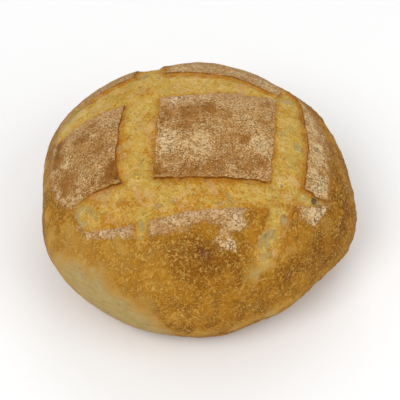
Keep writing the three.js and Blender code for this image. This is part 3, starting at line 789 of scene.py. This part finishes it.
# %% The edge of the flour
FLOUR_EDGE = [  # bearing in degrees and radius
    (-180, 103), (-170, 101), (-158, 98), (-150, 96), (-141, 97), (-135, 96), (-127, 92),
    (-120, 88), (-110, 83), (-103, 80), (-96, 77), (-89, 73), (-84, 71), (-79, 75), (-73, 80),
    (-66, 79), (-62, 72), (-57, 62), (-50, 62), (-45, 70), (-40, 92), (-34, 98), (-26, 99),
    (-17, 96), (-5, 94), (10, 95), (28, 95), (45, 93), (70, 96), (100, 97), (130, 101), (155, 106),
    (180, 103),
]
FLOUR_BLUR = 6
LOWEST_FLOUR = BELLY_HEIGHT + 8
NO_FLOUR = -20
BLUSH_REACH = 11

bearings, radii = np.array(FLOUR_EDGE).T
plan_place = points[:, :2] + middle[:2]
around = np.degrees(np.arctan2(plan_place[:, 1], plan_place[:, 0]))
reach = np.interp(around, bearings, radii) - np.hypot(*plan_place.T)  # mm inside the flour's edge
reach = np.where(points[:, 2] > LOWEST_FLOUR, reach, NO_FLOUR)
floury = smoothstep(-FLOUR_BLUR, FLOUR_BLUR, reach)

blush = [np.exp(-np.abs(m["inside"][0]) / BLUSH_REACH) * m["open"] for m in measured[2:]]
blush = np.maximum(*blush) * smoothstep(62, 45, points[:, 0])
print("floury: %.0f percent of the vertices" % (100 * (floury > 0.5).mean()))

# %% [markdown]
# A grey window is the thin roof of a bubble, so it has sunk by up to 0.7 mm. Where windows overlap
# the roof has burst, and the hollow is up to twice as deep.

# %% Windows sink
WINDOW_SINK = 0.7
BURST = 1.4

sunk = WINDOW_SINK * np.clip(painted("grey"), 0, BURST) ** 2 * share * opened
points -= dome_normal(ways) * sunk[:, None]
place_vertices()
print("deepest window: %.1f mm" % sunk.max())

# %% [markdown]
# All of this is kept as attributes on the mesh, one number to a vertex, which the material turns
# into colour and grain. The rims are darkest on top and fade towards the front and the left, and
# the foot, which stood on the hot stone, is browner.

# %% Attributes for the material
PLAIN_FLOUR = 0.42
PLAIN_BAKE = 0.5
FOOT_BAKE = 0.35

paint = {name: painted(name) for name in DABS}
window_here = np.clip(paint["grey"], 0, 1)
foot = FOOT_BAKE * (1 - smoothstep(1, 5, points[:, 2]))
fade_forward = 0.25 + 0.75 * smoothstep(-66, -56, points[:, 1])
fade_left = 0.35 + 0.65 * smoothstep(-85, -52, points[:, 0])
attributes = {
    "lip": lip_distance,
    "rim": rim_heat_and_shade * (fade_forward * fade_left) * (1 - 0.8 * window_here),
    "open": np.where(depth_inside > 0, opened, 1),
    "flour": floury * (PLAIN_FLOUR - paint["bare"]) + paint["flour"] - paint["burnt"],
    "skin": np.clip(floury + paint["flour"] - smoothstep(0.6, 1.1, paint["bare"]), 0, 1),
    "blush": blush,
    # The bake value is browning from heat, and also carries the painted light of the lightening
    # dabs.
    "bake": PLAIN_BAKE + paint["dark"] + paint["burnt"] + foot,
    "pale": paint["pale"],
    "grey": paint["grey"],
    "orange": paint["orange"],
}
for name, values in attributes.items():
    layer = loaf.data.attributes.new(name, "FLOAT", "POINT")
    layer.data.foreach_set("value", values.astype(np.float32))
    print("%-7s %6.2f to %5.2f" % (name, values.min(), values.max()))


# %% [markdown]
# ## Lumps, blisters and wrinkles
#
# The fine relief is real, so that the outline is uneven and each lump casts its own shade. Crumb is
# lumpy and torn, floured skin has fine wrinkles, and the bare crust has blisters. Each Displace
# modifier works on one zone through a vertex group, and is then applied.

# %% Displace modifiers on three zones
RELIEF = [  # zone, size of the lumps and their height
    ("crumb", 9, 2.0), ("crumb", 4, 0.9),
    ("skin", 14, 1.0), ("skin", 5, 0.5),
    ("crust", 16, 1.4), ("crust", 7, 1.4), ("crust", 4, 0.9),
]
LEAST_WEIGHT = 0.01

in_crumb = share * opened
in_skin = (1 - in_crumb) * floury
lumpy = (0.55 + 0.45 * smoothstep(-50, 70, points[:, 0])) * (1 - 0.6 * np.clip(paint["pale"], 0, 1))
zones = {
    "crumb": in_crumb * (1 - 0.7 * window_here),
    "skin": in_skin,
    "crust": (1 - in_crumb) * (1 - in_skin) * smoothstep(0.5, 4, points[:, 2]) * lumpy,
}
bpy.ops.object.select_all(action="DESELECT")
loaf.select_set(True)
bpy.context.view_layer.objects.active = loaf
for name, weights in zones.items():
    group = loaf.vertex_groups.new(name=name + "_relief")
    for index in np.flatnonzero(weights > LEAST_WEIGHT).tolist():
        group.add([index], float(weights[index]), "REPLACE")
for name, size, height in RELIEF:
    texture = bpy.data.textures.new(name + "_lumps", "CLOUDS")
    texture.noise_scale = size / 1000
    texture.noise_depth = 2
    bpy.ops.object.modifier_add(type="DISPLACE")
    modifier = loaf.modifiers[-1]
    modifier.texture = texture
    modifier.texture_coords = "LOCAL"
    modifier.strength = height / 1000
    modifier.mid_level = 0.5
    modifier.vertex_group = name + "_relief"
    bpy.ops.object.modifier_apply(modifier=modifier.name)
bpy.ops.object.shade_smooth_by_angle(angle=math.radians(50))
print("with relief:", [round(1000 * side, 1) for side in loaf.dimensions], "mm")


# %% [markdown]
# ## The baked crust
#
# Crust is dough that has dried and browned into a thin shell. To the eye it has almost no shine,
# and its colour, from straw yellow to deep brown, shows how hot each place got. One material
# carries the whole loaf, because browning runs from one zone into the next: golden crust, floured
# skin, open crumb and the dark rim of each lip. It is built from nodes, which stay sharp from near
# by. The table gives each kind of node its type, inputs, output and usual settings.

# %% One function that adds a node
KINDS = {
    "object place": ("TexCoord", (), "Object", {}),
    "attribute": ("Attribute", (), "Fac", {}),
    "height up": ("SeparateXYZ", ("Vector",), "Z", {}),
    "squeeze": ("Mapping", ("Vector", "Scale"), "Vector", {}),
    "noise": ("TexNoise", ("Vector", "Scale", "Detail", "Roughness", "Distortion"), "Fac", {}),
    "cell edge": ("TexVoronoi", ("Vector", "Scale"), "Distance", {"feature": "DISTANCE_TO_EDGE"}),
    "sum": ("Math", (0, 1), 0, {"operation": "ADD"}),
    "difference": ("Math", (0, 1), 0, {"operation": "SUBTRACT"}),
    "product": ("Math", (0, 1), 0, {"operation": "MULTIPLY"}),
    "larger": ("Math", (0, 1), 0, {"operation": "MAXIMUM"}),
    "absolute": ("Math", (0,), 0, {"operation": "ABSOLUTE"}),
    "step": ("MapRange", (0, 1, 2), 0, {"interpolation_type": "SMOOTHSTEP"}),
    "blend": ("Mix", (0, 6, 7), 2, {"data_type": "RGBA"}),
    "bump": ("Bump", ("Height", "Strength", "Distance"), 0, {}),
    "shell": ("BsdfPrincipled", ("Base Color", "Roughness", "Normal", "Specular IOR Level"), 0, {}),
    "finish": ("OutputMaterial", ("Surface",), None, {}),
}
crust = bpy.data.materials.new("baked_sourdough_crust")
crust.use_nodes = True
tree = crust.node_tree
tree.nodes.clear()


def add(kind, *values, output=None, **settings):
    """Adds one node. Each value is a number, a colour's hex code or another node's output."""
    node_type, inputs, main_output, usual = KINDS[kind]
    made = tree.nodes.new("ShaderNode" + node_type)
    for name, setting in {**usual, **settings}.items():
        setattr(made, name, setting)
    for socket, value in zip(inputs, values):
        if isinstance(value, bpy.types.NodeSocket):
            tree.links.new(value, made.inputs[socket])
        else:
            made.inputs[socket].default_value = srgb(value) if isinstance(value, str) else value
    return made.outputs[output or main_output] if made.outputs else made


print("kinds of node:", ", ".join(KINDS))

# %% [markdown]
# A crust's look is described in three ways. A mask says how much of something shows, a weighted
# sum adds up what heats or covers a place, and colours are laid over each other as in glazing.

# %% Masks, weighted sums and layers of colour
def mask(*parts):
    """The product of its parts. A part (value, low, high) goes from 0 at low to 1 at high."""
    total = None
    for part in parts:
        part = add("step", *part) if isinstance(part, tuple) else part
        total = part if total is None else add("product", total, part)
    return total


def near(value, peak, width):
    """1 where the value is at its peak, and 0 further than `width` from it."""
    return mask((add("absolute", add("difference", value, peak)), width, 0))


def weigh(*terms):
    """Adds up (value, factor) pairs; a bare number or value is added as it is."""
    total = None
    for term in terms:
        part = add("product", *term) if isinstance(term, tuple) else term
        total = part if total is None else add("sum", total, part)
    return total


def layered(colour, *layers):
    """Lays colours over each other. Each layer is a colour and the parts of its mask."""
    for over, *parts in layers:
        colour = add("blend", mask(*parts), colour, over)
    return colour


print("helpers: mask, near, weigh and layered")

# %% [markdown]
# Every pattern comes from noise in a few sizes, from flour dust to clouds as wide as a thumb.
# Object coordinates are in metres, so a scale of 1000 / size gives lumps of that many millimetres.
# Real flour dust is too fine to show, so it is drawn as grains of 1.2 mm.

# %% The patterns that all zones share
spot = add("object place")
lip, rim, opened_here, flour, skin, blush, bake, pale, grey, orange = (
    add("attribute", attribute_name=name) for name in attributes
)
dust = add("noise", spot, 1000 / 1.2, 1.0, 0.5)
speck = add("noise", spot, 1000 / 1.7, 2.0, 0.65)
fine = add("noise", spot, 1000 / 3.0, 2.0, 0.6, 0.4)
mottle = add("noise", spot, 1000 / 7.5, 3.0, 0.6, 0.5)
lumps = add("noise", spot, 1000 / 13, 1.5, 0.5, 0.6)
cloud = add("noise", spot, 1000 / 24, 2.0, 0.55)
print("shared patterns:", len(tree.nodes), "nodes")

# %% [markdown]
# Golden crust: browning runs from straw to deep brown with the heat, broken up by patches of a few
# centimetres and mottling of a few millimetres. Its blisters meet in a web of paler ridges about
# 3 mm apart, which fades where steam kept the crust pale and smooth. There the crust is khaki, with
# faint level creases: their tops are paler, which is painted light, and their grooves darker, which
# is painted shade, darker still low down.

# %% Golden crust
STRAW, GOLD, BROWN, BURNT = "#BE8C36", "#AA721A", "#844E0C", "#6A3808"
AMBER, DRY_STRAW, DARK_SPECK, CREASE_SHADE = "#C47C20", "#BE9850", "#643C08", "#7A4C16"
RIDGE, BURNT_RIDGE = "#D9AA52", "#CA985E"
KHAKI, PALE_KHAKI_AND_CREASE_LIGHT = "#A08A58", "#B29C68"

smooth_here = mask((weigh(pale, (mottle, 0.5), (lumps, 0.6), -0.55), 0.0, 0.7))
broken = add("product", weigh((mottle, 0.6), (fine, 0.3), -0.45), weigh((smooth_here, -0.7), 1.0))
# The heat also carries painted light: the lightening dabs make the bottom edge and the right flank
# paler.
heat_and_painted_light = weigh(bake, (cloud, 0.7), (lumps, 0.5), broken, (pale, -0.4), -0.51)
web = near(add("noise", spot, 1000 / 3.6, 1.0, 0.5, 0.8), 0.5, 0.07)
finer_web = near(add("noise", spot, 1000 / 2.5, 1.0, 0.5, 0.6), 0.5, 0.075)
patchy = weigh((mask((weigh((lumps, 0.5), (mottle, 0.5)), 0.42, 0.6)), 0.5), 0.5)
ridges = add("larger", web, finer_web)
blistered = mask(ridges, (speck, 0.3, 0.55), (smooth_here, 1.15, 0.0), patchy)
creases = add("noise", add("squeeze", spot, (1, 1, 3.5)), 1000 / 7, 3.0, 0.6, 0.3)
straw = weigh(pale, (mottle, 0.6), (lumps, 0.5), -0.55)
low_down = (add("height up", spot), 0.045, 0.02)
# The paler khaki follows the crease tops as painted light, mixed with mottling.
khaki = layered(KHAKI, (PALE_KHAKI_AND_CREASE_LIGHT, (weigh((creases, 0.6), (mottle, 0.4)), 0.35, 0.65)))
golden = layered(
    STRAW,
    (GOLD, (heat_and_painted_light, 0.1, 0.45)),
    (BROWN, (heat_and_painted_light, 0.4, 0.8)),
    (BURNT, (heat_and_painted_light, 0.8, 1.25)),
    (AMBER, orange, 0.7),
    (layered(RIDGE, (BURNT_RIDGE, (bake, 0.85, 1.2))), blistered, 0.85),
    (DARK_SPECK, (speck, 0.5, 0.36), (smooth_here, 1.2, 0.1), 0.3),
    (DRY_STRAW, (straw, 0.0, 0.5), 0.5),
    (khaki, (straw, 0.3, 1.1), 0.85),
    # Painted shade in the crease grooves low down.
    (CREASE_SHADE, low_down, (creases, 0.5, 0.35), 0.2),
)
print("with golden crust:", len(tree.nodes), "nodes")

# %% [markdown]
# Floured skin: the basket's flour is baked on in grains. Where it is thin the brown skin shows
# through, and where it is thick it turns cream, or pink-grey near a far lip. The skin also has a
# tan film of finer flour, and dark pores. The thickest flour dries and cracks, in cells of 3.6 mm
# whose edges a little noise has nudged out of line.

# %% Floured skin
LIGHT_SKIN, TAN_SKIN, BROWN_SKIN = "#BA8A4C", "#A06C30", "#80501C"
FILM, PINK_FILM = "#C9A46C", "#BC956A"
THIN_FLOUR, PINK_THIN_FLOUR = "#C6A674", "#BE9A7C"
CREAM_FLOUR, PINK_FLOUR = "#E3C696", "#D8B78E"
PORE, CRACK = "#6C441C", "#745026"

skin_heat = weigh(bake, (cloud, 0.5), (mottle, 0.9), (fine, 0.6), (flour, -0.5), -0.88)
film = weigh(flour, (mottle, 1.4), (fine, 0.9), -1.1, (blush, 0.5))
flour_cover = weigh(
    flour, (dust, 2.4), (speck, 1.6), (fine, 0.8), (mottle, 0.9), (cloud, 0.4), -3.2
)
flour_colour = layered(CREAM_FLOUR, (PINK_FLOUR, blush))
caked = mask((weigh(flour, (fine, 0.6), -0.3), 0.6, 1.0))
pore = mask((dust, 0.5, 0.36), (fine, 0.66, 0.45))
stir = add("noise", spot, 1000 / 4, 2.0, output="Color")
cell_edge = add("cell edge", add("blend", 0.006, spot, stir), 1000 / 3.6)
crack = mask((cell_edge, 0.1, 0.03), (flour, 0.6, 0.9), (mottle, 0.38, 0.5))
floured = layered(
    LIGHT_SKIN,
    (TAN_SKIN, (skin_heat, 0.1, 0.45)),
    (BROWN_SKIN, (skin_heat, 0.45, 0.95)),
    (layered(FILM, (PINK_FILM, blush)), (film, 0.0, 0.9), 0.55),
    (layered(THIN_FLOUR, (PINK_THIN_FLOUR, blush)), (pale, 0.1, 0.7), 0.6),
    (flour_colour, (flour_cover, 0.1, 1.0), 0.75),
    (flour_colour, caked, 0.55),
    (PORE, pore, (caked, 1.2, 0.2), (pale, 0.9, 0.0), weigh((blush, -0.25), 0.75)),
    (CRACK, crack, 0.85),
)
skin_here = mask((weigh(skin, (fine, 0.8), (mottle, 0.8), -0.8), 0.3, 0.7))
print("with floured skin:", len(tree.nodes), "nodes")

# %% [markdown]
# Open crumb: the torn, stretched inside of the dough, which bakes to a clear gold. It is mottled
# between cream and orange in wisps, deepest beside the lips. Thin grey windows lie over big
# bubbles, and small burst bubbles leave pits. The pits and the burst hole are painted darker, as
# painted shade in the hollows.

# %% Open crumb
CREAM, CLEAR_GOLD, DEEP_GOLD = "#D2B46E", "#C6993A", "#B87A18"
PINK_TINT, GREEN_TINT, STRAND, CRUMB_SPECK = "#C9A26C", "#B7A050", "#EACB86", "#805818"
GLASSY, PINK_GLASSY, DEEP_WINDOW, WINDOW_EDGE = "#AA965A", "#B09670", "#948252", "#86642C"
# Painted shade for the pits and the burst hole in the crumb.
PIT_SHADE, HOLE_SHADE = "#85694C", "#75603C"

wisps = add("noise", spot, 1000 / 7, 4.0, 0.65, 1.8)
strands = add("noise", spot, 1000 / 3.4, 3.0, 0.6, 1.5)
tint = add("noise", spot, 1000 / 15, 1.0, 0.5, 1.5)
beside_lip = mask((lip, -7, -0.4))
crumb_heat = weigh(
    orange, (beside_lip, 0.4), (cloud, 0.6), (lumps, 0.7), (wisps, 1.5), (strands, 1.0), -1.78
)
window = mask((weigh(grey, (wisps, 0.6), -0.3), 0.15, 0.75))
glassy = layered(GLASSY, (PINK_GLASSY, (mottle, 0.4, 0.6)))
pit = mask((add("noise", spot, 1000 / 4.5, 1.0, 0.55), 0.66, 0.74), (speck, 0.4, 0.6))
crumb = layered(
    CREAM,
    (CLEAR_GOLD, (crumb_heat, -0.25, 0.2)),
    (DEEP_GOLD, (crumb_heat, 0.2, 0.6)),
    (PINK_TINT, (tint, 0.52, 0.66), 0.6),
    (GREEN_TINT, (tint, 0.48, 0.36), 0.45),
    (STRAND, near(strands, 0.5, 0.05), (speck, 0.35, 0.6), 0.6),
    (CRUMB_SPECK, (speck, 0.42, 0.28), 0.6),
    (layered(glassy, (DEEP_WINDOW, (grey, 0.6, 1.1))), window, 0.75),
    (WINDOW_EDGE, near(window, 0.4, 0.4), 0.3),
    (PIT_SHADE, pit, 0.6),
    (HOLE_SHADE, (grey, 1.05, 1.45)),
)
print("with open crumb:", len(tree.nodes), "nodes")

# %% [markdown]
# The rim: a lip that stands up is a thin edge, so it takes the most heat. It bakes dark brown, and
# the crumb just below it turns orange. The dark line along the lip also stands for the shade that
# falls under the lip, so it is partly baked colour and partly painted shade.

# %% Rims and all the zones together
RIM_GLOW, RIM_BROWN_AND_SHADE = "#B87620", "#683C12"

ragged_lip = weigh(lip, (speck, 0.7), -0.35)
thin_edge = weigh(ragged_lip, (rim, 0.9))
in_channel = mask((ragged_lip, 0.2, -0.4), (opened_here, 0.0, 0.45))
at_edge = mask((rim, 0.0, 0.6), (thin_edge, -0.1, 0.35), (ragged_lip, 0.15, -0.2))
surface = layered(
    golden,
    (floured, skin_here),
    (crumb, in_channel),
    (RIM_GLOW, rim, (lip, -4.2, -0.9), (lip, 0.9, 0.0), 0.75),
    # Dark edge of each lip: partly baked brown, partly painted shade under the lip.
    (RIM_BROWN_AND_SHADE, at_edge, (mottle, 0.25, 0.55), 0.85),
)
print("with rims:", len(tree.nodes), "nodes")

# %% [markdown]
# The finest relief, of parts of a millimetre, is bump: grains, the web of ridges, which stands out
# most on the bare crust, creases, pits and cracks. Baked starch bends light about as glass does, so
# the crust keeps the default IOR, but it is porous and scatters nearly all of the light. That is
# why it hardly shines and is rough, and dry flour is rougher still.

# %% Bump and finish
BUMP_HEIGHT = 0.001
ROUGHNESS = 0.62
ROUGHER_IN_FLOUR = 0.25
SHINE = 0.05

golden_here = add("product", weigh((skin_here, -1.0), 1.0), weigh((in_channel, -1.0), 1.0))
height = weigh(
    (speck, 0.4),
    (fine, 0.5),
    mask(blistered, weigh((golden_here, 0.2), 0.3)),
    (pit, -0.5),
    (crack, -0.4),
    mask(creases, smooth_here, 0.35),
    mask(window, speck, -0.3),
)
bump = add("bump", height, 1.0, BUMP_HEIGHT)
rough = weigh(mask(skin_here, (flour_cover, 0.2, 0.7), ROUGHER_IN_FLOUR), ROUGHNESS)
add("finish", add("shell", surface, rough, bump, SHINE))
loaf.data.materials.append(crust)
print("crust material:", len(tree.nodes), "nodes")

# %% [markdown]
# ## Finish
#
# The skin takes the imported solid's place, rides on its body and carries its material slot.

# %% Finish
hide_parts("loaf")
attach(loaf, "root")
